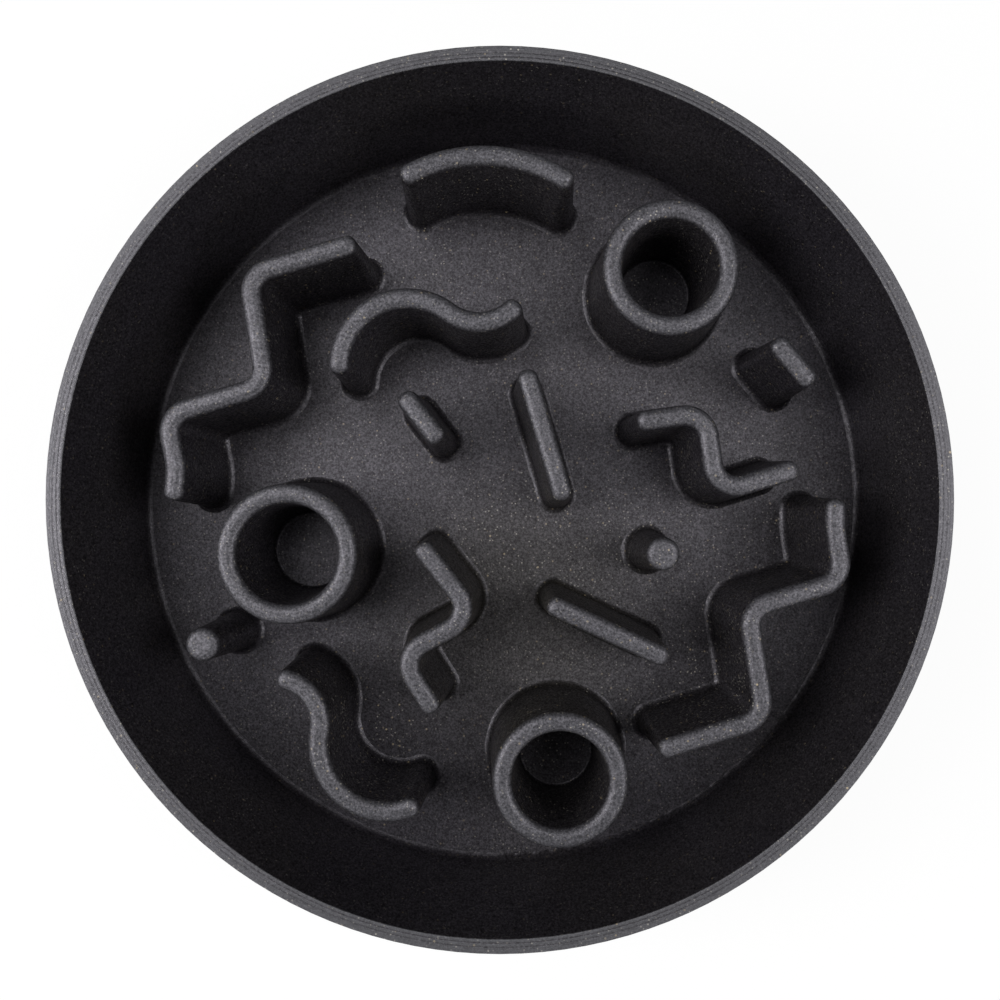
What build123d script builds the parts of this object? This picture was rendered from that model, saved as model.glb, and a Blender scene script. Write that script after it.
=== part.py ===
from build123d import *
import os
from math import degrees, hypot, radians, tan

# All sizes are in millimetres and all angles in degrees.
# The bowl stands on Z = 0 with its axis on Z. +Y is the top of the picture and +X its right.

# Bowl: a level floor, and a wall that stands on it and leans out
BOWL_DEPTH = 56.0
WALL_DRAFT = 5.4
RIM_WIDTH = 4.7
RIM_EDGE_RADIUS = 0.4
FLOOR_THICKNESS = 5.0
FLOOR_CORNER_RADIUS = 3.0
BASE_EDGE_RADIUS = 6.0
# Clear floor between the foot of the outermost ridge and the wall.
WALL_CHANNEL = 11.05

# Foot under the floor, and the non-slip ring that sits in its groove
FOOT_INSET = 5.0
FOOT_WIDTH = 13.0
FOOT_HEIGHT = 3.0
FOOT_EDGE_RADIUS = 1.0
RING_WIDTH = 5.0
RING_SEAT_DEPTH = 2.0
RING_PROUD = 1.0
RING_EDGE_RADIUS = 0.4
RING_SIDE_CLEARANCE = 0.3

# Section of a ridge: a well-rounded top, drafted sides and a hollow round at the root
RIDGE_HEIGHT = 43.0
RIDGE_TOP_WIDTH = 6.6
RIDGE_DRAFT = 2.5
RIDGE_TOP_RADIUS = 2.8
RIDGE_ROOT_RADIUS = 3.0
# The rounds at the roots of the ridges and the wall aim this far under the floor,
# so that each foot ends at a real angle.
ROOT_SINK = 0.1
# Flat part across a ridge's end. The two corners beside it are round.
END_FLAT = 0.8

# Cups: a ridge section turned about the cup's axis, with more draft inside than outside
CUP_WALL_TOP_WIDTH = 6.3
CUP_INSIDE_DRAFT = 3.3
CUP_INSIDE_ROOT_RADIUS = 1.5
CUPS = {
    # place on the floor, from the middle of the bowl, and radius to the middle of the cup's wall
    "cup_upper_right": ((56.0, 76.9), 19.3),
    "cup_left": ((-70.5, -17.5), 20.0),
    "cup_lower": ((19.6, -92.0), 19.3),
}

# Pegs
PEG_TOP_DIAMETER = 10.8
PEG_TOP_RADIUS = 2.4
PEG_PLACES = {
    "peg_right": (53.4, -17.5),
    "peg_left": (-98.1, -47.3),
}

# Zigzags: the corners of each centreline, from end to end
ZIGZAG_CORNER_RADIUS = 8.0
SHORT_ZIGZAGS = {
    "short_zigzag_right": ((47.8, 26.4), (67.5, 29.2), (71.2, 2.4), (95.1, 9.9)),
    "short_zigzag_lower": ((-23.4, -67.1), (-33.5, -51.1), (-8.5, -37.8), (-25.1, -16.5)),
}
# A long zigzag has three such corners, and its last leg bends gently.
LEG_BEND_RADIUS = 20.0
LONG_ZIGZAGS = {
    "long_zigzag_left": ((-50.6, 84.1), (-83.3, 74.5), (-77.6, 38.1), (-110.4, 28.2), (-107.0, 10.9), (-107.7, 3.1)),
    "long_zigzag_right": ((55.0, -81.4), (87.1, -71.6), (81.4, -35.6), (112.8, -26.2), (110.2, -8.8), (110.3, -2.3)),
}

# Waves: a wide bend clockwise about a centre, then a tighter one the other way
WAVE_WIDE_RADIUS = 22.5
WAVES = {
    # centre, first bearing, wide sweep, tight radius, tight sweep
    "wave_upper": ((-30.8, 44.2), 178.5, 125.3, 16.7, 79.0),
    "wave_lower": ((-37.7, -80.0), 290.2, 120.3, 15.0, 85.5),
}

# One plain arc
ARC_CENTRE = (-6.0, 62.2)
ARC_RADIUS = 51.5
ARC_BEARING = 88.2
ARC_SWEEP = 59.5

# Straight bars: middle, bearing and length of each centreline
BARS = {
    "long_bar_centre": ((14.5, 21.6), -73.5, 39.0),
    "long_bar_lower": ((35.3, -42.9), -25.0, 37.7),
    "short_bar_left": ((-26.2, 27.4), -52.0, 14.3),
    "short_bar_right": ((96.4, 45.7), -50.0, 13.2),
}

# Levels, from the ground up
FOOT_Z = RING_PROUD
UNDERSIDE_Z = FOOT_Z + FOOT_HEIGHT
FLOOR_Z = UNDERSIDE_Z + FLOOR_THICKNESS
RIM_Z = FLOOR_Z + BOWL_DEPTH


def rounded(sketch, point, radius):
    """The sketch with its corner at the point rounded."""
    corner = sketch.vertices().sort_by_distance(point)[0]
    return fillet(corner, radius)


def half_section(top_width, draft, top_radius, root_radius):
    """Half of a ridge section: X is the distance from the centreline, Y the height over the floor."""
    top = (top_width / 2, RIDGE_HEIGHT)
    root = (top[0] + (RIDGE_HEIGHT + ROOT_SINK) * tan(radians(draft)), -ROOT_SINK)
    reach = root[0] + 2 * root_radius
    line = Polyline(
        (0, -2 * ROOT_SINK),
        (reach, -2 * ROOT_SINK),
        (reach, -ROOT_SINK),
        root,
        top,
        (0, RIDGE_HEIGHT),
        close=True,
    )
    half = rounded(make_face(line), top, top_radius)
    half = rounded(half, root, root_radius)
    return half & Rectangle(reach, 2 * RIDGE_HEIGHT, align=(Align.MIN, Align.MIN))


def part_beside(section, offset, side):
    """The part of a section on one side of an offset: 1 keeps what is below it, -1 what is above."""
    size = 8 * RIDGE_HEIGHT
    edge = Align.MAX if side > 0 else Align.MIN
    return section & Pos(offset, 0) * Rectangle(size, size, align=(edge, Align.CENTER))


RIDGE_HALF = half_section(RIDGE_TOP_WIDTH, RIDGE_DRAFT, RIDGE_TOP_RADIUS, RIDGE_ROOT_RADIUS)
RIDGE_SECTION = RIDGE_HALF + mirror(RIDGE_HALF, about=Plane.YZ)
END_CORNER = Pos(-END_FLAT / 2, 0) * part_beside(RIDGE_HALF, END_FLAT / 2, -1)


def left_of(heading):
    """The level direction to the left of a heading."""
    return Vector(-heading.Y, heading.X, 0)


def across(point, heading):
    """The upright plane at a point of the floor, looking along the heading, with its X to the left."""
    return Plane((point.X, point.Y, FLOOR_Z), x_dir=left_of(heading), z_dir=heading)


def upright_axis(point, turn):
    """The axis through a point of the floor, up for a left turn and down for a right turn."""
    return Axis((point.X, point.Y, FLOOR_Z), (0, 0, turn))


def straight_run(edge):
    """The ridge along a straight piece of its centreline."""
    return extrude(across(edge @ 0, edge % 0) * RIDGE_SECTION, amount=edge.length)


def bent_run(edge):
    """The ridge round a bend of its centreline. On the inside it stops at the bend's axis."""
    start, heading, centre = edge @ 0, edge % 0, edge.arc_center
    turn = 1 if left_of(heading).dot(centre - start) > 0 else -1
    section = part_beside(RIDGE_SECTION, turn * edge.radius, turn)
    angle = degrees(edge.length / edge.radius)
    return revolve(across(start, heading) * section, upright_axis(centre, turn), angle)


def end_cap(point, heading):
    """The end of a ridge: a flat face across it and a round corner on each side of that."""
    left = left_of(heading)
    left_corner = point + left * (END_FLAT / 2)
    right_corner = point - left * (END_FLAT / 2)
    flat = extrude(across(left_corner, left * -1) * END_CORNER, amount=END_FLAT)
    on_left = revolve(across(left_corner, heading) * END_CORNER, upright_axis(left_corner, -1), 90)
    facing_right = across(right_corner, heading * -1)
    on_right = revolve(facing_right * END_CORNER, upright_axis(right_corner, 1), 90)
    return [flat, on_left, on_right]


def ridge(centreline):
    """A ridge along a centreline of lines and arcs, closed at both ends."""
    pieces = end_cap(centreline @ 0, (centreline % 0) * -1)
    for edge in centreline.edges():
        run = straight_run if edge.geom_type == GeomType.LINE else bent_run
        pieces.append(run(edge))
    pieces += end_cap(centreline @ 1, centreline % 1)
    return pieces[0].fuse(*pieces[1:]).clean()


def polar(centre, radius, bearing):
    """The point at a bearing and a distance from a centre."""
    return Vector(*centre) + Vector(radius, 0).rotate(Axis.Z, bearing)


def zigzag_line(corners, radii):
    """A zigzag's centreline, with its corners rounded."""
    return Wire(FilletPolyline(*corners, radius=radii).edges())


def wave_line(centre, bearing, wide_sweep, tight_radius, tight_sweep):
    """A wave's centreline: two arcs that meet without a corner."""
    meeting = bearing - wide_sweep
    other = polar(centre, WAVE_WIDE_RADIUS + tight_radius, meeting)
    wide = CenterArc(centre, WAVE_WIDE_RADIUS, bearing, -wide_sweep)
    tight = CenterArc(other, tight_radius, meeting + 180, tight_sweep)
    return Wire([wide.edge(), tight.edge()])


def bar_line(middle, bearing, length):
    """A straight centreline about its middle."""
    ends = polar(middle, -length / 2, bearing), polar(middle, length / 2, bearing)
    return Wire([Line(*ends).edge()])


def all_centrelines():
    """The centreline of every ridge, by the ridge's name."""
    first_bearing = ARC_BEARING - ARC_SWEEP / 2
    lines = {"arc_ridge": Wire([CenterArc(ARC_CENTRE, ARC_RADIUS, first_bearing, ARC_SWEEP).edge()])}
    for name, corners in SHORT_ZIGZAGS.items():
        lines[name] = zigzag_line(corners, ZIGZAG_CORNER_RADIUS)
    for name, corners in LONG_ZIGZAGS.items():
        lines[name] = zigzag_line(corners, 3 * [ZIGZAG_CORNER_RADIUS] + [LEG_BEND_RADIUS])
    for name, numbers in WAVES.items():
        lines[name] = wave_line(*numbers)
    for name, numbers in BARS.items():
        lines[name] = bar_line(*numbers)
    return lines


def cup(radius):
    """A cup about the Z axis, standing on Z = 0."""
    outside = half_section(CUP_WALL_TOP_WIDTH, RIDGE_DRAFT, RIDGE_TOP_RADIUS, RIDGE_ROOT_RADIUS)
    inside = half_section(CUP_WALL_TOP_WIDTH, CUP_INSIDE_DRAFT, RIDGE_TOP_RADIUS, CUP_INSIDE_ROOT_RADIUS)
    wall = Pos(radius, 0) * (outside + mirror(inside, about=Plane.YZ))
    return revolve(Plane.XZ * wall, Axis.Z)


def peg():
    """A round peg about the Z axis, standing on Z = 0."""
    half = half_section(PEG_TOP_DIAMETER, RIDGE_DRAFT, PEG_TOP_RADIUS, RIDGE_ROOT_RADIUS)
    return revolve(Plane.XZ * half, Axis.Z)


def foot_radius(solid):
    """The radius of the foot of a cup or peg that stands about the Z axis."""
    return solid.bounding_box().max.X


def furthest(centreline):
    """The distance from the bowl's axis to the furthest point of a centreline."""
    steps = 60
    return max((centreline @ (step / steps)).length for step in range(steps + 1))


def level_part(profile, level, side):
    """The part of a profile on one side of a level: 1 keeps what is over it, -1 what is under."""
    size = 8 * RIM_Z + 4 * profile.bounding_box().max.X
    edge = Align.MIN if side > 0 else Align.MAX
    return profile & Pos(0, level) * Rectangle(size, size, align=(Align.CENTER, edge))


def bowl_and_ring(floor_radius):
    """The bowl's floor with its foot, the wall that stands on it, and the ring in the foot's groove."""
    slope = tan(radians(WALL_DRAFT))
    rim_inner = floor_radius + BOWL_DEPTH * slope
    rim_outer = rim_inner + RIM_WIDTH
    base_outer = rim_outer - (RIM_Z - UNDERSIDE_Z) * slope
    foot_outer = base_outer - BASE_EDGE_RADIUS - FOOT_INSET
    foot_inner = foot_outer - FOOT_WIDTH
    ring_middle = (foot_outer + foot_inner) / 2
    ring_inner = ring_middle - RING_WIDTH / 2
    ring_height = RING_PROUD + RING_SEAT_DEPTH
    groove_inner = ring_inner - RING_SIDE_CLEARANCE
    groove_outer = ring_middle + RING_WIDTH / 2 + RING_SIDE_CLEARANCE

    outside = make_face(
        Polyline(
            (0, RIM_Z),
            (rim_outer, RIM_Z),
            (base_outer, UNDERSIDE_Z),
            (foot_outer, UNDERSIDE_Z),
            (foot_outer, FOOT_Z),
            (groove_outer, FOOT_Z),
            (groove_outer, ring_height),
            (groove_inner, ring_height),
            (groove_inner, FOOT_Z),
            (foot_inner, FOOT_Z),
            (foot_inner, UNDERSIDE_Z),
            (0, UNDERSIDE_Z),
            close=True,
        )
    )
    outside = rounded(outside, (base_outer, UNDERSIDE_Z), BASE_EDGE_RADIUS)
    outside = rounded(outside, (foot_outer, FOOT_Z), FOOT_EDGE_RADIUS)
    outside = rounded(outside, (foot_inner, FOOT_Z), FOOT_EDGE_RADIUS)
    floor = revolve(Plane.XZ * level_part(outside, FLOOR_Z, -1), Axis.Z)

    wall_foot = (floor_radius - ROOT_SINK * slope, FLOOR_Z - ROOT_SINK)
    hollow = make_face(Polyline((0, RIM_Z), (rim_inner, RIM_Z), wall_foot, (0, wall_foot[1]), close=True))
    hollow = rounded(hollow, wall_foot, FLOOR_CORNER_RADIUS)
    side = level_part(outside, FLOOR_Z, 1) - hollow
    side = rounded(side, (rim_inner, RIM_Z), RIM_EDGE_RADIUS)
    side = rounded(side, (rim_outer, RIM_Z), RIM_EDGE_RADIUS)
    wall = revolve(Plane.XZ * side, Axis.Z)

    strip = Pos(ring_inner, 0) * Rectangle(RING_WIDTH, ring_height, align=(Align.MIN, Align.MIN))
    strip = rounded(strip, (ring_inner, 0), RING_EDGE_RADIUS)
    strip = rounded(strip, (ring_inner + RING_WIDTH, 0), RING_EDGE_RADIUS)
    ring = revolve(Plane.XZ * strip, Axis.Z)
    return {"bowl_floor": floor, "bowl_wall": wall, "non_slip_ring": ring}


def all_nodes():
    """Every solid of the bowl, by its name."""
    nodes = {}
    reaches = []
    for name, line in all_centrelines().items():
        nodes[name] = ridge(line)
        reaches.append(furthest(line) + RIDGE_HALF.bounding_box().max.X)
    rounds = {name: (place, cup(radius)) for name, (place, radius) in CUPS.items()}
    rounds.update({name: (place, peg()) for name, place in PEG_PLACES.items()})
    for name, (place, solid) in rounds.items():
        nodes[name] = Pos(*place, FLOOR_Z) * solid
        reaches.append(hypot(*place) + foot_radius(solid))
    # The floor is as wide as the ridges and cups need, with the outer channel round them.
    nodes.update(bowl_and_ring(max(reaches) + WALL_CHANNEL))
    return nodes


os.makedirs("parts", exist_ok=True)
for node_name, node in all_nodes().items():
    export_step(node, f"parts/{node_name}.step")
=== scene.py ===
"""Gives the slow feeder bowl its moulded finishes and sets a small studio round it.

Laid out as an add-on: sizes and colours are properties, each group of like pieces has an operator,
and main() registers the classes and runs the operators in order. Lengths are in metres, apart from
the camera's lens and sensor.
"""

from math import cos, hypot, pi, radians, sin

import bpy
from bpy.props import FloatProperty, FloatVectorProperty, PointerProperty
from bpy.types import Operator, Panel, PropertyGroup
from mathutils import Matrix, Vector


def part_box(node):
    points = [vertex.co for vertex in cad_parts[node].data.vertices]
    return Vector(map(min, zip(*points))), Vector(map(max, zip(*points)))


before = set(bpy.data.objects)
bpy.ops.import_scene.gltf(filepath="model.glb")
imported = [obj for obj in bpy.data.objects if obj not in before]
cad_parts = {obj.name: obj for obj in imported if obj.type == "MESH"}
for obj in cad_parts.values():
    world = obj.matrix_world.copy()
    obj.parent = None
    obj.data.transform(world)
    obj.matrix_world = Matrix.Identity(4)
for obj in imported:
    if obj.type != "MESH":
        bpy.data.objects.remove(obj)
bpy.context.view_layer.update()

bl_info = {
    "name": "Slow Feeder Bowl",
    "version": (1, 0, 0),
    "blender": (4, 5, 0),
    "location": "3D View > Sidebar > Bowl",
    "description": "Finishes for a slow feeder bowl, and a studio to show it in",
    "category": "Object",
}

# Pieces, by the finish that they get
WALL = "bowl_wall"
FLOOR = "bowl_floor"
RING = "non_slip_ring"
RIDGES_CUPS_AND_PEGS = [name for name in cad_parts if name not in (WALL, FLOOR, RING)]

# Levels and radii, read from the frame
FLOOR_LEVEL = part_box(FLOOR)[1].z
RIDGE_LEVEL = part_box(RIDGES_CUPS_AND_PEGS[0])[1].z
RIM_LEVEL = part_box(WALL)[1].z
RIM_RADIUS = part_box(WALL)[1].x

# Depth of the floor's upper side, which the scratches stay on
FLOOR_SKIN = 0.001

# Scratches on the floor: where each starts and ends, and how strong it is
SCRATCHES = [
    ((-0.0056, 0.0469), (-0.0030, 0.0499), 1.0),
    ((-0.0048, 0.0464), (-0.0022, 0.0492), 0.8),
    ((-0.0150, 0.1028), (-0.0134, 0.1046), 0.6),
]

# Round places on the floor, the middle and reach of each: where pale specks gather, the bowl's middle,
# tinted warmer as painted warm light, and the floor inside two cups, which loses shine as painted shade
GATHERINGS = [((0.006, -0.010), 0.036), ((-0.042, -0.079), 0.028), ((0.072, -0.059), 0.026)]
WARMER_MIDDLE = [((0.003, -0.040), 0.080)]
SHADED_CUPS = [((0.0560, 0.0769), 0.027), ((0.0196, -0.0920), 0.027)]

# Specks: strength of the faintest, share of the radius at full strength, and width of a nearly sharp step
FAINTEST_SPECK = 0.35
SPECK_CORE = 0.6
SHARP_STEP = 0.02

# Values of a noise between which its clouds set in
PATCH_RANGE = (0.35, 0.65)
CLUSTER_RANGE = (0.4, 0.7)
BREAK_RANGE = (0.4, 0.6)
DUST_RANGE = (0.4, 1.1)

WHITE = (1, 1, 1, 1)

# Softboxes: azimuth from +X in degrees, elevation in degrees and power in watts of each
SOFTBOXES = [
    ("right_softbox", 0, 45, 4.1),
    ("right_high_softbox", 0, 65, 0.8),
    ("back_right_high_softbox", 45, 65, 0.5),
    ("back_left_softbox", 135, 42, 1.3),
    ("back_left_high_softbox", 135, 65, 1.5),
    ("left_low_softbox", 180, 25, 2.1),
    ("left_softbox", 180, 45, 4.7),
    ("left_high_softbox", 180, 65, 0.6),
    ("front_left_low_softbox", 225, 25, 1.6),
    ("front_low_softbox", 270, 25, 1.0),
    ("front_right_low_softbox", 315, 25, 1.9),
]


def length(name, description, default):
    """A property that holds a length."""
    return FloatProperty(name=name, description=description, default=default, unit="LENGTH", precision=5)


def factor(name, description, default):
    """A property that holds a share from 0 to 1."""
    return FloatProperty(
        name=name, description=description, default=default, min=0, max=1, subtype="FACTOR"
    )


def colour(name, description, default):
    """A property that holds a colour."""
    return FloatVectorProperty(
        name=name, description=description, default=default, size=3, min=0, max=1, subtype="COLOR"
    )


def lens_length(name, description, default):
    """A property that holds a length in a camera, in millimetres."""
    return FloatProperty(name=name, description=description, default=default, subtype="DISTANCE_CAMERA")


def place(name, description, default):
    """A property that holds a place."""
    return FloatVectorProperty(
        name=name, description=description, default=default, size=3, subtype="TRANSLATION", precision=4
    )


def number(name, description, default):
    """A property that holds a plain number."""
    return FloatProperty(name=name, description=description, default=default, precision=4)


class BowlCompositeLook(PropertyGroup):
    """Colours and sizes in the plant-fibre composite."""

    # One composite in lit and shaded copies: the ridges' upright sides get the darkest colour, the wall a
    # lighter one and the floor lighter still, as painted shade and light
    body: colour("Body", "Colour of the moulded wall", (0.0120, 0.0111, 0.0122))
    ridge: colour("Ridge", "Colour of the sides of the ridges, cups and pegs", (0.0106, 0.0098, 0.0106))
    floor: colour("Floor", "Colour of the floor", (0.0150, 0.0141, 0.0156))
    # The worn colour is partly real rubbing and partly painted light on the ridges' upward tops
    wear_and_light: colour("Worn", "Colour of the composite where a ridge's top is rubbed", (0.0362, 0.0360, 0.0402))
    # The turned colour is partly the real turned finish and partly painted light on the rim's upward top
    turned_and_lit: colour("Turned", "Colour of the composite where the rim is turned", (0.0500, 0.0505, 0.0540))
    scratched: colour("Scratched", "Colour of the composite in a scratch", (0.1000, 0.0950, 0.1000))
    gloss_tint: colour("Gloss tint", "Tint of the reflections", (0.950, 0.910, 1.0))
    # The warm and cool tints: partly random tone in clouds, partly painted light, warmer in the bowl's
    # middle and cooler elsewhere
    warm: colour("Warm", "Tint of the browner patches", (1.0, 0.96, 0.56))
    cool: colour("Cool", "Tint of the bluer patches", (0.92, 0.87, 1.0))
    speck: colour("Speck", "Colour of the pale specks", (0.48, 0.45, 0.39))
    fleck: colour("Fleck", "Colour of the larger plant-fibre flecks", (0.52, 0.42, 0.26))
    gloss: factor("Gloss", "Strength of the reflections from the shiniest grains", 0.95)
    refraction: number("Refraction", "Refractive index of the composite", 1.8)
    shiny: factor("Shiny", "Share of the surface that is as shiny as that", 0.43)
    satin: factor("Satin", "Roughness of the moulded surface", 0.45)
    worn_roughness: factor("Worn roughness", "Roughness of rubbed tops, the rim and scratches", 0.5)
    grain: length("Grain", "Size of the coarsest grain", 0.0008)
    contrast: number("Grain contrast", "How far the grain goes from dark to pale", 1.9)
    draw: factor("Draw", "Width of the grain on an upright face, as a share of its height", 0.65)
    speck_cell: length("Speck spacing", "Distance between the specks", 0.0014)
    speck_radius: factor("Speck radius", "Radius of a speck, as a share of the spacing", 0.24)
    speck_share: factor("Speck share", "Share of the places that hold a speck", 0.6)
    speck_height: factor("Speck height", "Height of a speck, as a share of the grain's", 0.3)
    fleck_cell: length("Fleck spacing", "Distance between the flecks", 0.0030)
    fleck_radius: factor("Fleck radius", "Radius of a fleck, as a share of the spacing", 0.15)
    fleck_share: factor("Fleck share", "Share of the places that hold a fleck", 0.5)
    cover: factor("Cover", "How far a speck or fleck hides the composite", 0.8)
    scattered: factor("Scattered", "Strength of the specks away from where they gather", 0.4)
    cluster: length("Cluster", "Size of the clouds in which specks gather a little", 0.03)
    clustered: factor("Clustered", "Strength of the specks in those clouds", 0.7)
    wall_specks: factor("Wall specks", "Strength of the specks on the wall, as a share of the rim's", 0.35)
    mottle: length("Mottle", "Size of the faint clouds in the grain", 0.004)
    mottle_contrast: factor("Mottle contrast", "How far those clouds go from dark to pale", 0.4)
    cut: factor("Cut", "Share of the grain that turning takes off", 0.6)
    # The root height bounds painted shade: corners lose some shine up to it
    root: length("Root", "Height over the floor up to which a corner is duller", 0.003)
    # Shares of lost shine, as painted shade at the wall's and ridges' roots and on two cups' floors
    wall_root_shade: factor("Wall root", "Share of the shine that is lost where the wall meets the floor", 0.35)
    ridge_root_shade: factor("Ridge root", "Share of the shine that is lost where a ridge meets the floor", 0.12)
    cup_floor_shade: factor("Cup floor", "Share of the shine that is lost in the middle of a duller cup", 0.75)
    patch: length("Patch", "Size of the browner and bluer patches", 0.065)
    # The warmer middle is painted warm light
    warmer_middle: factor("Browner", "Share of the warm tint in the bowl's middle; patches get the rest", 0.8)
    patch_roughness: factor("Patch roughness", "How much rougher the brownest patch is", 0.04)
    # The fade down a top's round is painted shade
    top_fade_depth: length("Worn depth", "Height over which a rubbed top fades out", 0.0030)
    scratch_width: length("Scratch width", "Half of the width of a scratch", 0.0004)
    relief: length("Relief", "Height of the grain", 0.00010)


class BowlRimLook(PropertyGroup):
    """Sizes of the turned lines on the rim, inwards from its outer edge."""

    edge: length("Edge", "Width of the plain edge on each side", 0.0005)
    width: length("Width", "Width of the rim", 0.0047)
    line_pitch: length("Line pitch", "Distance between the fine turned lines", 0.0007)
    crest: length("Crest", "Place of the broken crest", 0.0017)
    dip: length("Dip", "Place of the shallow dip beside the crest", 0.0022)
    groove: length("Groove", "Place of the groove near the inner edge", 0.0035)
    line_width: length("Line width", "Half of the width of the crest, the dip and the groove", 0.0004)
    break_length: length("Break length", "Length of the runs in which the crest is broken", 0.004)
    line_relief: length("Line relief", "Height of the turned profile", 0.00012)
    fine_height: number("Fine height", "Height of the fine lines, as a share of the line relief", 1.2)
    crest_height: factor("Crest height", "Height of the crest, as a share of the line relief", 0.4)
    dip_depth: factor("Dip depth", "Depth of the dip, as a share of the line relief", 0.3)
    groove_depth: factor("Groove depth", "Depth of the groove, as a share of the line relief", 0.5)
    edge_fade: factor("Edge fade", "Softness of the border between the lines and the plain edge", 0.2)
    # The profile's colour is a painted highlight on the crest and painted shade in the dip and the groove
    line_contrast: number("Line contrast", "How far the colour follows the profile", 1.6)
    fade_start: length("Fade start", "Depth under the rim's top at which its paler colour starts", 0.0006)
    fade_end: length("Fade end", "Depth under the rim's top at which that is full", 0.0001)


class BowlRingLook(PropertyGroup):
    """Colour and stipple of the rubber ring."""

    rubber: colour("Rubber", "Colour of the rubber", (0.02, 0.02, 0.021))
    dusty: colour("Dusty", "Colour of the rubber where dust sits in its stipple", (0.045, 0.044, 0.043))
    stipple: length("Stipple", "Size of the moulded stipple", 0.0009)
    stipple_height: length("Stipple height", "Height of the moulded stipple", 0.0001)
    stipple_weight: factor("Stipple weight", "How far dust follows the stipple", 0.7)
    dust: length("Dust", "Size of the dusty clouds", 0.02)
    dust_weight: factor("Dust weight", "How far dust follows its clouds", 0.6)
    dust_roughness: factor("Dust roughness", "How much rougher the dustiest rubber is", 0.2)
    roughness: factor("Roughness", "Roughness of the rubber", 0.75)


class BowlStageLook(PropertyGroup):
    """The camera, the softboxes and the ground."""

    camera_place: place("Camera", "Place of the camera, looking straight down", (0.0060, -0.0054, 0.359))
    lens: lens_length("Lens", "Focal length", 33.76)
    sensor: lens_length("Sensor", "Width of the sensor", 36)
    nearest: length("Nearest", "Distance from the camera at which its view starts", 0.01)
    shift_x: number("Shift X", "Shift that frames the rim, as a share of the picture", -0.0190)
    shift_y: number("Shift Y", "Shift that frames the rim, as a share of the picture", 0.0171)
    softbox_size: length("Softbox size", "Width of each softbox", 0.4)
    softbox_distance: length("Softbox distance", "Distance of each softbox from the bowl", 1.0)
    softbox_level: length("Softbox aim", "Height of the point that the softboxes face", 0.03)
    fill: factor("Fill", "Light from all round", 0.01)
    ground: length("Ground", "Width of the ground", 8.0)
    ground_colour: colour("Ground colour", "Colour of the ground in the light", (0.9, 0.9, 0.9))
    ground_white: factor("Ground white", "Share of plain white in what is seen under the bowl", 0.9)
    ground_fade: length("Ground fade", "Distance from the bowl's axis at which all of it is white", 0.8)


class Socket:
    """An output of a finish. Arithmetic on it adds Math nodes."""

    def __init__(self, finish, output):
        self.finish = finish
        self.output = output

    def maths(self, operation, *values):
        """A Math node on some values."""
        return self.finish.node("ShaderNodeMath", {"operation": operation}, dict(enumerate(values)))

    def __add__(self, other):
        return self.maths("ADD", self, other)

    def __sub__(self, other):
        return self.maths("SUBTRACT", self, other)

    def __rsub__(self, other):
        return self.maths("SUBTRACT", other, self)

    def __mul__(self, other):
        return self.maths("MULTIPLY", self, other)

    def __truediv__(self, other):
        return self.maths("DIVIDE", self, other)

    def __pow__(self, other):
        return self.maths("POWER", self, other)

    def __abs__(self):
        return self.maths("ABSOLUTE", self)

    __radd__ = __add__
    __rmul__ = __mul__

    def larger(self, other):
        """The larger of two values."""
        return self.maths("MAXIMUM", self, other)

    def rise(self, low, high):
        """A smooth step: 0 up to low, 1 from high on."""
        inputs = {"Value": self, "From Min": low, "From Max": high}
        return self.finish.node("ShaderNodeMapRange", {"interpolation_type": "SMOOTHSTEP"}, inputs)

    def near(self, middle, reach):
        """1 at the middle, falling smoothly to 0 at a reach on each side."""
        return 1 - abs(self - middle).rise(0, reach)

    def also(self, name):
        """Another output of the same node."""
        return Socket(self.finish, self.output.node.outputs[name])


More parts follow.
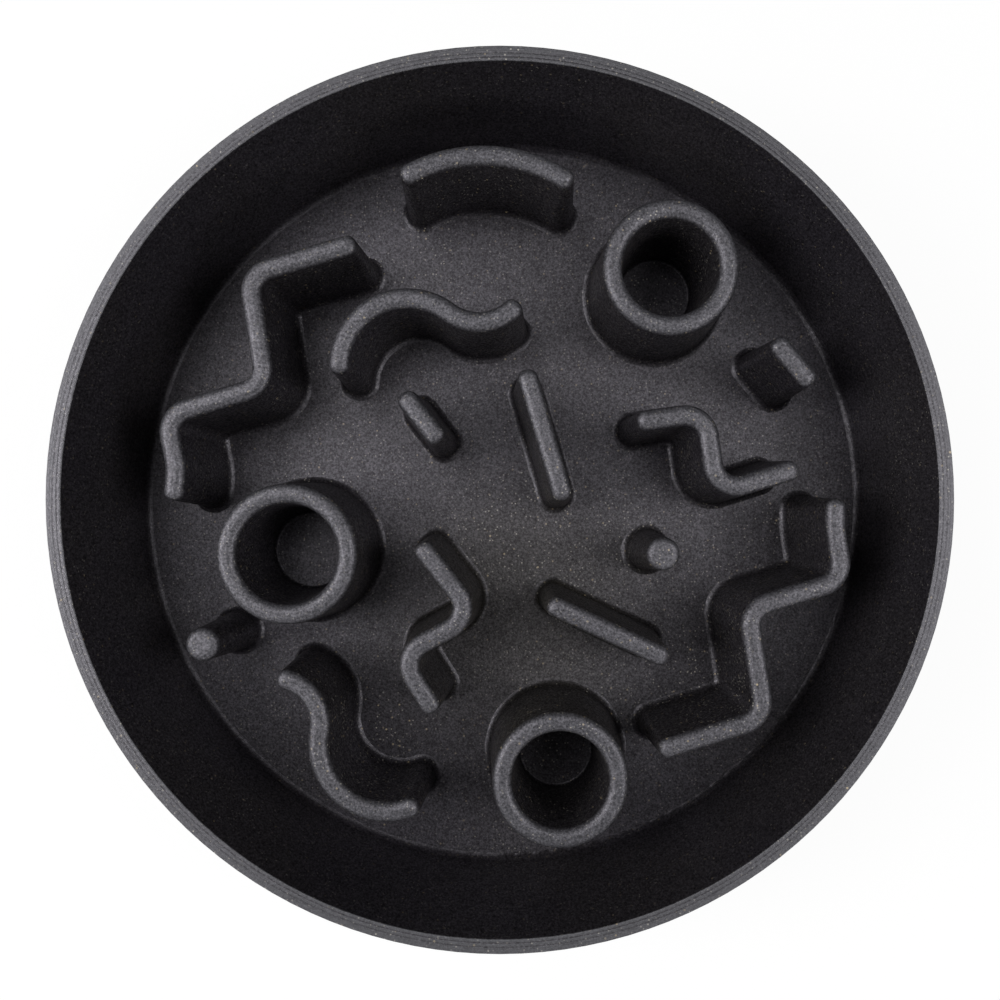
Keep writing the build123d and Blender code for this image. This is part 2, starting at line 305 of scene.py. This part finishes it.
class Finish:
    """A node tree in the making, of a material or of the world."""

    def __init__(self, owner):
        owner.use_nodes = True
        self.owner = owner
        self.tree = owner.node_tree
        self.tree.nodes.clear()

    def node(self, kind, settings=None, inputs=None, output=0):
        """Adds a node, makes its settings, gives its inputs values or links, and returns an output."""
        node = self.tree.nodes.new(kind)
        for name, value in (settings or {}).items():
            setattr(node, name, value)
        for key, value in (inputs or {}).items():
            if isinstance(value, Socket):
                self.tree.links.new(value.output, node.inputs[key])
            else:
                node.inputs[key].default_value = value
        return Socket(self, node.outputs[output]) if node.outputs else None

    def mix(self, amount, low, high):
        """A colour between two colours."""
        colours = [shade if isinstance(shade, Socket) else (*shade, 1) for shade in (low, high)]
        inputs = {0: amount, 6: colours[0], 7: colours[1]}
        return self.node("ShaderNodeMix", {"data_type": "RGBA"}, inputs, 2)

    def times(self, shade, amount):
        """A colour made lighter or darker."""
        return self.node("ShaderNodeVectorMath", {"operation": "SCALE"}, {0: shade, "Scale": amount})

    def product(self, first, second):
        """Two colours or points, multiplied number by number."""
        return self.node("ShaderNodeVectorMath", {"operation": "MULTIPLY"}, {0: first, 1: second})

    def point(self):
        """The point on the surface, in the frame's axes."""
        return self.node("ShaderNodeTexCoord", output="Object")

    def noise(self, point, size, detail=2.0, roughness=0.5):
        """Cloudy noise of a given size, about a half."""
        inputs = {"Vector": point, "Scale": 1 / size, "Detail": detail, "Roughness": roughness}
        return self.node("ShaderNodeTexNoise", {}, inputs)

    def specks(self, point, cell, radius, share):
        """Round specks, some fainter: a share of the cells hold one, of a radius given in cells."""
        distance = self.node("ShaderNodeTexVoronoi", {}, {"Vector": point, "Scale": 1 / cell})
        chance = self.node("ShaderNodeSeparateColor", {}, {0: distance.also("Color")})
        strength = FAINTEST_SPECK + chance.also("Green") * (1 - FAINTEST_SPECK)
        held = (1 - chance.rise(share, share + SHARP_STEP)) * strength
        return (1 - distance.rise(SPECK_CORE * radius, radius)) * held

    def axes(self, point):
        """The three numbers of a point."""
        x = self.node("ShaderNodeSeparateXYZ", {}, {0: point})
        return x, x.also("Y"), x.also("Z")

    def around(self, point, places):
        """1 at the middle of each of some round places, falling smoothly to 0 at its reach."""
        x, y, _ = self.axes(point)
        mask = 0
        for middle, reach in places:
            east, north = x - middle[0], y - middle[1]
            mask = (1 - ((east * east + north * north) ** 0.5).rise(0, reach)).larger(mask)
        return mask

    def bump(self, height, relief):
        """The normal of a surface that rises by the relief where the height goes up by 1."""
        return self.node("ShaderNodeBump", {}, {"Height": height, "Distance": relief, "Strength": 1.0})

    def end(self, kind, shader):
        """The tree's output."""
        self.node(kind, {}, {"Surface": shader})
        return self.owner


def new_finish(name):
    """A finish for a new material."""
    return Finish(bpy.data.materials.new(name))


def composite(name, base, top, wear_and_light_mask, painted_shade, lines=None):
    """The speckled composite, with a paler colour on top where it is worn or painted lit.

    Of the finish and a point on it, the mask function marks that paler part: real scratches on the floor,
    and partly real wear and partly painted light on the ridges' tops and the rim. The shine function gives
    the share of the shine that is lost, as painted shade in corners and cups, and lines, if given, a
    profile cut into the worn part, where it takes the place of some of the grain. The specks then show
    less beside that part.
    """
    look = bpy.context.scene.bowl_composite
    finish = new_finish(name)
    point = finish.point()
    grain = finish.noise(finish.product(point, (1, 1, look.draw)), look.grain, detail=3.0, roughness=0.75)
    clouds = finish.noise(point, look.patch, detail=1.0).rise(*PATCH_RANGE)
    tone_and_warm_light = finish.around(point, WARMER_MIDDLE) * look.warmer_middle + clouds * (1 - look.warmer_middle)
    mottle = finish.noise(point, look.mottle)
    clusters = finish.noise(point, look.cluster, detail=1.0).rise(*CLUSTER_RANGE)
    gathered = look.scattered + finish.around(point, GATHERINGS) * (1 - look.scattered)
    gathered = gathered.larger(clusters * look.clustered)
    wear_and_light = wear_and_light_mask(finish, point)
    uneven = (grain * 2) ** look.contrast * (1 + (mottle - 0.5) * look.mottle_contrast)
    if lines:
        gathered = gathered * (look.wall_specks + wear_and_light * (1 - look.wall_specks))
        uneven = 1 + (uneven - 1) * (1 - wear_and_light * look.cut)
    specks = finish.specks(point, look.speck_cell, look.speck_radius, look.speck_share) * gathered
    flecks = finish.specks(point, look.fleck_cell, look.fleck_radius, look.fleck_share) * gathered

    # Tints: random tone in clouds, and painted warm light in the bowl's middle with cooler light elsewhere
    shade = finish.product(base, finish.mix(tone_and_warm_light, look.cool, look.warm))
    # Paler where worn or painted lit: real scratches on the floor, partly wear and partly painted light on
    # the tops and the rim
    shade = finish.mix(wear_and_light, shade, top)
    shade = finish.times(shade, uneven)
    shade = finish.mix(specks * look.cover, shade, look.speck)
    shade = finish.mix(flecks * look.cover, shade, look.fleck)
    # Shine lost in the corners and in two cups is painted shade
    shine = uneven * look.shiny * (1 - painted_shade(finish, point))
    height = grain + specks * look.speck_height
    if lines:
        height = height + lines(finish, point)
    rougher = (tone_and_warm_light - 0.5) * look.patch_roughness + wear_and_light * (look.worn_roughness - look.satin)
    inputs = {
        "Base Color": shade,
        "Roughness": look.satin + rougher,
        "IOR": look.refraction,
        "Specular Tint": (*look.gloss_tint, 1),
        "Normal": finish.bump(height, look.relief),
    }
    dull = finish.node("ShaderNodeBsdfPrincipled", {}, {**inputs, "Specular IOR Level": 0.0})
    shiny = finish.node("ShaderNodeBsdfPrincipled", {}, {**inputs, "Specular IOR Level": look.gloss})
    shader = finish.node("ShaderNodeMixShader", {}, {0: shine, 1: dull, 2: shiny})
    return finish.end("ShaderNodeOutputMaterial", shader)


def corner_shade(finish, point, lost):
    """Painted shade: a share of the shine, lost up to a tenth of the root's height and kept from the
    root's height on.
    """
    height = finish.axes(point)[2]
    root = bpy.context.scene.bowl_composite.root
    return (1 - height.rise(FLOOR_LEVEL + root / 10, FLOOR_LEVEL + root)) * lost


def wall_corner_shade(finish, point):
    """Painted shade in the corner between the wall and the floor, as less shine."""
    return corner_shade(finish, point, bpy.context.scene.bowl_composite.wall_root_shade)


def ridge_corner_shade(finish, point):
    """Slight painted shade in the corner round a ridge, cup or peg, as less shine."""
    return corner_shade(finish, point, bpy.context.scene.bowl_composite.ridge_root_shade)


def shaded_cup_floors(finish, point):
    """Painted shade on the floor inside two of the cups, as less shine."""
    return finish.around(point, SHADED_CUPS) * bpy.context.scene.bowl_composite.cup_floor_shade


def worn_and_lit_ridge_top(finish, point):
    """The paler top of a ridge, cup or peg, partly real rubbing and partly painted light, fading down its
    round as painted shade.
    """
    height = finish.axes(point)[2]
    return height.rise(RIDGE_LEVEL - bpy.context.scene.bowl_composite.top_fade_depth, RIDGE_LEVEL)


def scratched_floor(finish, point):
    """Two short scratches side by side, and a fainter one."""
    width = bpy.context.scene.bowl_composite.scratch_width
    x, y, height = finish.axes(point)
    mask = 0
    for start, end, strength in SCRATCHES:
        run = (end[0] - start[0], end[1] - start[1])
        reach = hypot(*run)
        along = ((x - start[0]) * run[0] + (y - start[1]) * run[1]) / reach
        beside = ((x - start[0]) * run[1] - (y - start[1]) * run[0]) / reach
        mask = mask + beside.near(0, width) * along.near(reach / 2, reach / 2) * strength
    return mask * height.rise(FLOOR_LEVEL - 2 * FLOOR_SKIN, FLOOR_LEVEL - FLOOR_SKIN)


def rim_profile(finish, point):
    """The turned profile across the rim: a broken crest, a dip and a groove among fine lines.

    Its values lie about a half.
    """
    rim = bpy.context.scene.bowl_rim
    x, y, _ = finish.axes(point)
    inset = RIM_RADIUS - (x * x + y * y) ** 0.5
    inputs = {"W": inset, "Scale": 1 / rim.line_pitch, "Detail": 1.0}
    fine = finish.node("ShaderNodeTexNoise", {"noise_dimensions": "1D"}, inputs)
    broken = finish.noise(point, rim.break_length).rise(*BREAK_RANGE)
    crest = inset.near(rim.crest, rim.line_width) * broken
    dip = inset.near(rim.dip, rim.line_width)
    groove = inset.near(rim.groove, rim.line_width)
    cut = (fine - 0.5) * rim.fine_height + crest * rim.crest_height
    cut = cut - dip * rim.dip_depth - groove * rim.groove_depth
    on_top = inset.near(rim.width / 2, rim.width / 2 - rim.edge).rise(0, rim.edge_fade)
    return 0.5 + cut * on_top


def turned_and_lit_rim(finish, point):
    """The paler top of the rim, partly the real turned finish and partly painted light, with its profile
    painted in: palest on its crest as a painted highlight and darkest in its groove as painted shade.
    """
    rim = bpy.context.scene.bowl_rim
    height = finish.axes(point)[2]
    top = height.rise(RIM_LEVEL - rim.fade_start, RIM_LEVEL - rim.fade_end)
    return top * (1 + (rim_profile(finish, point) - 0.5) * rim.line_contrast)


def turned_lines(finish, point):
    """The rim's profile, in units of the grain's relief."""
    relief = bpy.context.scene.bowl_rim.line_relief / bpy.context.scene.bowl_composite.relief
    return rim_profile(finish, point) * relief


def rubber(name):
    """Matt stippled rubber."""
    look = bpy.context.scene.bowl_ring
    finish = new_finish(name)
    point = finish.point()
    stipple = finish.noise(point, look.stipple, detail=1.0)
    dust = finish.noise(point, look.dust, detail=4.0)
    dusted = (dust * look.dust_weight + stipple * look.stipple_weight).rise(*DUST_RANGE)
    inputs = {
        "Base Color": finish.mix(dusted, look.rubber, look.dusty),
        "Roughness": look.roughness + (dust - 0.5) * look.dust_roughness,
        "Normal": finish.bump(stipple, look.stipple_height),
    }
    shader = finish.node("ShaderNodeBsdfPrincipled", {}, inputs)
    return finish.end("ShaderNodeOutputMaterial", shader)


def dress(names, material):
    """Puts a material on some of the frame's nodes."""
    for name in names:
        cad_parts[name].material_slots[0].material = material


def seen(finish):
    """1 for what the camera sees straight, in a reflection or through glass."""
    camera = finish.node("ShaderNodeLightPath", output="Is Camera Ray")
    return camera.larger(camera.also("Is Glossy Ray")).larger(camera.also("Is Transmission Ray"))


class BOWL_OT_finish_wall(Operator):
    """Give the wall its composite, with painted shade where it meets the floor, and the rim its turned
    lines and a paler top, partly painted light
    """

    bl_idname = "bowl.finish_wall"
    bl_label = "Finish Wall and Rim"

    def execute(self, context):
        look = context.scene.bowl_composite
        material = composite(
            "composite_turned_and_lit_rim", look.body, look.turned_and_lit, turned_and_lit_rim, wall_corner_shade, turned_lines
        )
        dress([WALL], material)
        return {"FINISHED"}


class BOWL_OT_finish_floor(Operator):
    """Give the floor its composite"""

    bl_idname = "bowl.finish_floor"
    bl_label = "Finish Floor"

    def execute(self, context):
        look = context.scene.bowl_composite
        material = composite("composite_floor", look.floor, look.scratched, scratched_floor, shaded_cup_floors)
        dress([FLOOR], material)
        return {"FINISHED"}


class BOWL_OT_finish_ridges(Operator):
    """Give the ridges, cups and pegs their composite with paler tops, partly rubbed and partly painted
    light, and painted shade in their corners
    """

    bl_idname = "bowl.finish_ridges"
    bl_label = "Finish Ridges, Cups and Pegs"

    def execute(self, context):
        look = context.scene.bowl_composite
        material = composite("composite_worn_and_lit_top", look.ridge, look.wear_and_light, worn_and_lit_ridge_top, ridge_corner_shade)
        dress(RIDGES_CUPS_AND_PEGS, material)
        return {"FINISHED"}


class BOWL_OT_finish_ring(Operator):
    """Give the non-slip ring its rubber"""

    bl_idname = "bowl.finish_ring"
    bl_label = "Finish Non-slip Ring"

    def execute(self, context):
        dress([RING], rubber("stippled_rubber"))
        return {"FINISHED"}


class BOWL_OT_set_stage(Operator):
    """Lay the ground, set the softboxes and the fill, and place the camera"""

    bl_idname = "bowl.set_stage"
    bl_label = "Set Stage"

    def execute(self, context):
        stage = context.scene.bowl_stage
        self.lay_ground(stage)
        self.fill_light(context.scene, stage)
        for name, azimuth, elevation, power in SOFTBOXES:
            self.softbox(stage, name, radians(azimuth), radians(elevation), power)
        self.place_camera(context.scene, stage)
        context.scene.view_settings.view_transform = "Standard"
        return {"FINISHED"}

    def lay_ground(self, stage):
        """White ground that keeps a soft shadow."""
        bpy.ops.mesh.primitive_plane_add(size=stage.ground)
        ground = bpy.context.object
        ground.name = "ground"
        finish = new_finish("white_ground")
        lit = finish.node("ShaderNodeBsdfDiffuse", {}, {"Color": (*stage.ground_colour, 1)})
        white = finish.node("ShaderNodeEmission", {}, {"Color": WHITE, "Strength": 1.0})
        near = finish.around(finish.point(), [((0, 0), stage.ground_fade)])
        inputs = {0: seen(finish) * (1 - near * (1 - stage.ground_white)), 1: lit, 2: white}
        shader = finish.node("ShaderNodeMixShader", {}, inputs)
        ground.data.materials.append(finish.end("ShaderNodeOutputMaterial", shader))

    def fill_light(self, scene, stage):
        """Even light from all round, behind which the camera sees white."""
        scene.world = bpy.data.worlds.new("studio")
        finish = Finish(scene.world)
        fill = finish.node("ShaderNodeBackground", {}, {"Color": WHITE, "Strength": stage.fill})
        behind = finish.node("ShaderNodeBackground", {}, {"Color": WHITE, "Strength": 1.0})
        camera = finish.node("ShaderNodeLightPath", output="Is Camera Ray")
        shader = finish.node("ShaderNodeMixShader", {}, {0: camera, 1: fill, 2: behind})
        finish.end("ShaderNodeOutputWorld", shader)

    def softbox(self, stage, name, azimuth, elevation, power):
        """A square softbox that faces the bowl."""
        lamp = bpy.data.lights.new(name, "AREA")
        lamp.size = stage.softbox_size
        lamp.energy = power
        box = bpy.data.objects.new(name, lamp)
        out = stage.softbox_distance * cos(elevation)
        up = stage.softbox_distance * sin(elevation)
        box.location = (out * cos(azimuth), out * sin(azimuth), stage.softbox_level + up)
        box.rotation_euler = (0, pi / 2 - elevation, azimuth)
        bpy.context.scene.collection.objects.link(box)

    def place_camera(self, scene, stage):
        """A camera that looks straight down, with the picture's top towards +Y."""
        lens = bpy.data.cameras.new("camera")
        lens.lens = stage.lens
        lens.sensor_width = stage.sensor
        lens.shift_x = stage.shift_x
        lens.shift_y = stage.shift_y
        lens.clip_start = stage.nearest
        camera = bpy.data.objects.new("camera", lens)
        camera.location = stage.camera_place
        scene.collection.objects.link(camera)
        scene.camera = camera


LOOKS = {
    "bowl_composite": BowlCompositeLook,
    "bowl_rim": BowlRimLook,
    "bowl_ring": BowlRingLook,
    "bowl_stage": BowlStageLook,
}
OPERATORS = [
    BOWL_OT_finish_wall,
    BOWL_OT_finish_floor,
    BOWL_OT_finish_ridges,
    BOWL_OT_finish_ring,
    BOWL_OT_set_stage,
]


class BOWL_PT_pieces(Panel):
    """The bowl's operators and their properties"""

    bl_idname = "BOWL_PT_pieces"
    bl_label = "Slow Feeder Bowl"
    bl_space_type = "VIEW_3D"
    bl_region_type = "UI"
    bl_category = "Bowl"

    def draw(self, context):
        layout = self.layout
        for operator in OPERATORS:
            layout.operator(operator.bl_idname)
        for name, look in LOOKS.items():
            box = layout.box()
            for key in look.__annotations__:
                box.prop(getattr(context.scene, name), key)


CLASSES = [*LOOKS.values(), *OPERATORS, BOWL_PT_pieces]


def register():
    for each in CLASSES:
        bpy.utils.register_class(each)
    for name, look in LOOKS.items():
        setattr(bpy.types.Scene, name, PointerProperty(type=look))


def unregister():
    for name in LOOKS:
        delattr(bpy.types.Scene, name)
    for each in reversed(CLASSES):
        bpy.utils.unregister_class(each)


def main():
    register()
    bpy.ops.bowl.finish_wall()
    bpy.ops.bowl.finish_floor()
    bpy.ops.bowl.finish_ridges()
    bpy.ops.bowl.finish_ring()
    bpy.ops.bowl.set_stage()


if __name__ == "__main__":
    main()
